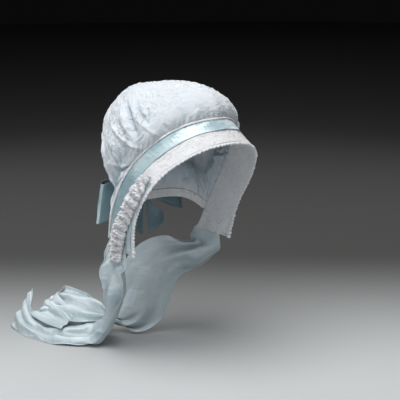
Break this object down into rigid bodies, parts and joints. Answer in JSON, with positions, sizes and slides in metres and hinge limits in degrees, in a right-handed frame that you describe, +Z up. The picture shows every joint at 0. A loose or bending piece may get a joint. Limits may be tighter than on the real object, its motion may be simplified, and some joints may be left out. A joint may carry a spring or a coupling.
{
  "type": "ribbon-trimmed cloth cap",
  "caption": "Soft cloth cap with a gathered crown bag, a front band with side lappets, ribbon over the seam, ruched side trims, a nape bow and long ribbon ties.",
  "frame": {"origin": "the seat under the top of the cap, where it rests on the wearer's head", "axes": "+Z up, -Y towards the front of the wearer, +X towards the wearer's left"},
  "size_m": [0.2428, 0.3551, 0.3834],
  "materials": {
    "white_cloth": "matt figured cloth",
    "white_trim": "matt plain cloth",
    "blue_satin": "soft satin sheen",
    "blue_shade": "soft satin sheen"
  },
  "bodies": {
    "root": {"crown": "white_cloth", "front_band": "white_cloth", "nape_band": "white_trim", "edge_binding": "white_trim", "band_ribbon": "blue_satin", "bow_knot": "blue_shade", "side_ribbon_right": "blue_shade", "ruche_right": "white_trim", "bow_loop_right": "blue_satin", "bow_tail_right": "blue_shade", "tie_right": "blue_satin", "side_ribbon_left": "blue_shade", "ruche_left": "white_trim", "bow_loop_left": "blue_satin", "bow_tail_left": "blue_shade", "tie_left": "blue_satin"}
  },
  "joints": []
}
